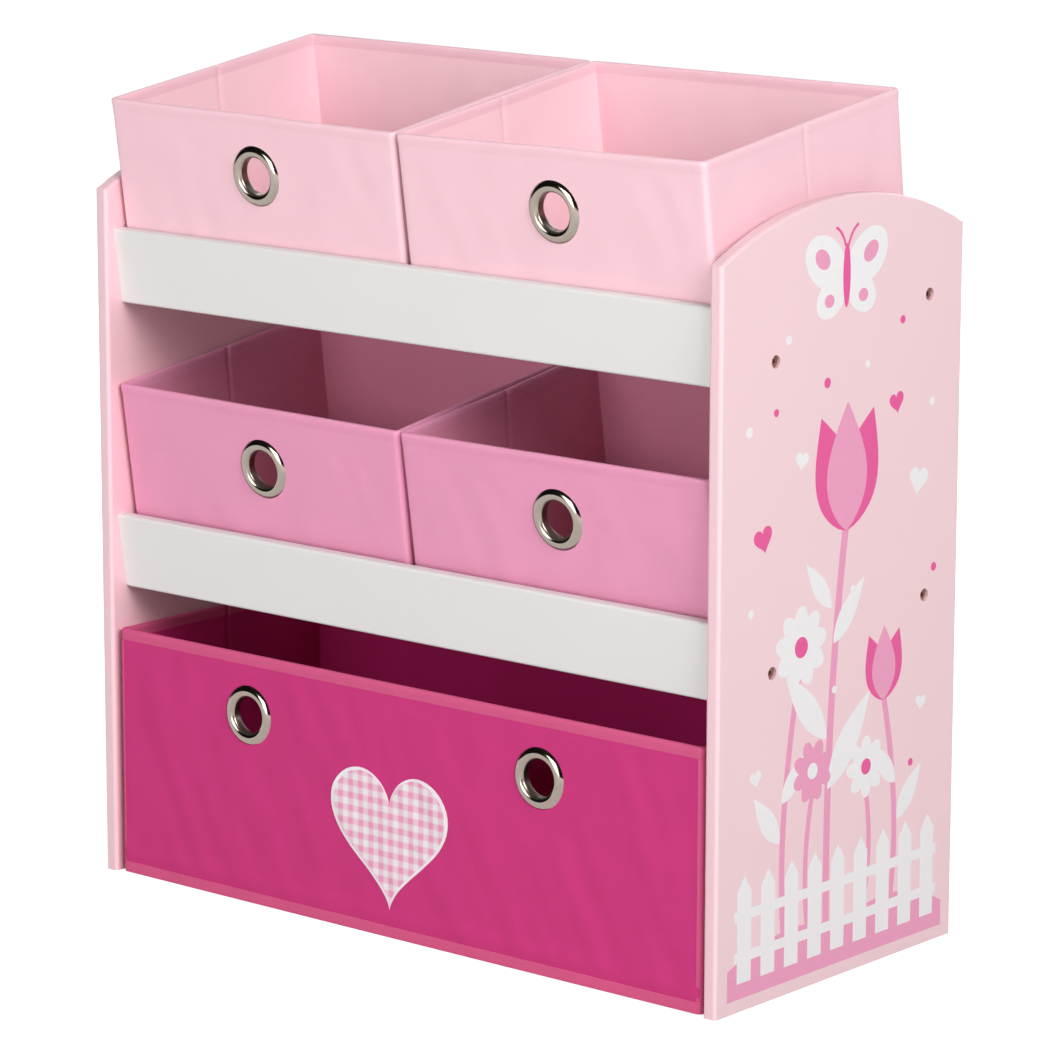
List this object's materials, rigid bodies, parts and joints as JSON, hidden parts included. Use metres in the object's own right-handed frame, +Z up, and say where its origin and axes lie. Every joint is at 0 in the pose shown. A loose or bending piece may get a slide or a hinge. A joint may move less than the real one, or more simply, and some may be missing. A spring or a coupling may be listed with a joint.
{
  "type": "toy shelf with fabric boxes",
  "caption": "Children's toy shelf: arched side panels carry forward-tilted trays with front rails. Fabric boxes with eyelet pulls lift out above a wide fabric box that slides out.",
  "frame": {"origin": "on the floor, at the middle of the overall width and depth", "axes": "+Z up, +X to the right as the front is seen, -Y out of the front"},
  "size_m": [0.635, 0.3, 0.6698],
  "materials": {
    "panel_paint": "MDF with satin pale pink paint and a printed pattern",
    "rail_paint": "MDF with satin white paint",
    "screw_steel": "dull zinc-plated steel",
    "dowel_wood": "bare beech",
    "top_fabric": "pale pink non-woven cloth",
    "top_lining": "pale pink non-woven cloth",
    "middle_fabric": "mid pink non-woven cloth",
    "middle_lining": "mid pink non-woven cloth",
    "wide_fabric": "magenta non-woven cloth",
    "wide_lining": "magenta non-woven cloth",
    "wide_binding": "lighter pink binding tape",
    "wall_card": "grey board",
    "eyelet_nickel": "polished nickel plate"
  },
  "bodies": {
    "frame": {"left_side_panel": "panel_paint", "right_side_panel": "panel_paint", "upper_tray_board": "rail_paint", "lower_tray_board": "rail_paint", "upper_front_rail": "rail_paint", "lower_front_rail": "rail_paint", "side_screws": "screw_steel", "rail_dowels": "dowel_wood"},
    "top_left_box": {"top_left_box_shell": "top_fabric", "top_left_box_wall_boards": "wall_card", "top_left_box_base_board": "top_lining", "top_left_box_lining": "top_lining", "top_left_box_rim_hem": "top_fabric", "top_left_box_eyelet_front": "eyelet_nickel", "top_left_box_eyelet_back": "eyelet_nickel"},
    "top_right_box": {"top_right_box_shell": "top_fabric", "top_right_box_wall_boards": "wall_card", "top_right_box_base_board": "top_lining", "top_right_box_lining": "top_lining", "top_right_box_rim_hem": "top_fabric", "top_right_box_eyelet_front": "eyelet_nickel", "top_right_box_eyelet_back": "eyelet_nickel"},
    "middle_left_box": {"middle_left_box_shell": "middle_fabric", "middle_left_box_wall_boards": "wall_card", "middle_left_box_base_board": "middle_lining", "middle_left_box_lining": "middle_lining", "middle_left_box_rim_hem": "middle_fabric", "middle_left_box_eyelet_front": "eyelet_nickel", "middle_left_box_eyelet_back": "eyelet_nickel"},
    "middle_right_box": {"middle_right_box_shell": "middle_fabric", "middle_right_box_wall_boards": "wall_card", "middle_right_box_base_board": "middle_lining", "middle_right_box_lining": "middle_lining", "middle_right_box_rim_hem": "middle_fabric", "middle_right_box_eyelet_front": "eyelet_nickel", "middle_right_box_eyelet_back": "eyelet_nickel"},
    "wide_box": {"wide_box_shell": "wide_fabric", "wide_box_wall_boards": "wall_card", "wide_box_base_board": "wide_lining", "wide_box_lining": "wide_lining", "wide_box_rim_hem": "wide_binding", "wide_box_eyelet_front": "eyelet_nickel", "wide_box_eyelet_back": "eyelet_nickel", "wide_box_bottom_binding": "wide_binding", "wide_box_corner_piping": "wide_binding"}
  },
  "joints": [
    {"name": "top_left_box_lift", "type": "slide", "parent": "frame", "child": "top_left_box", "axis": [0, -0.1392, 0.9903], "range_m": [0, 0.15]},
    {"name": "top_right_box_lift", "type": "slide", "parent": "frame", "child": "top_right_box", "axis": [0, -0.1392, 0.9903], "range_m": [0, 0.15]},
    {"name": "middle_left_box_lift", "type": "slide", "parent": "frame", "child": "middle_left_box", "axis": [0, -0.1392, 0.9903], "range_m": [0, 0.06]},
    {"name": "middle_right_box_lift", "type": "slide", "parent": "frame", "child": "middle_right_box", "axis": [0, -0.1392, 0.9903], "range_m": [0, 0.06]},
    {"name": "wide_box_pull", "type": "slide", "parent": "frame", "child": "wide_box", "axis": [0, -1, 0], "range_m": [0, 0.28]}
  ]
}
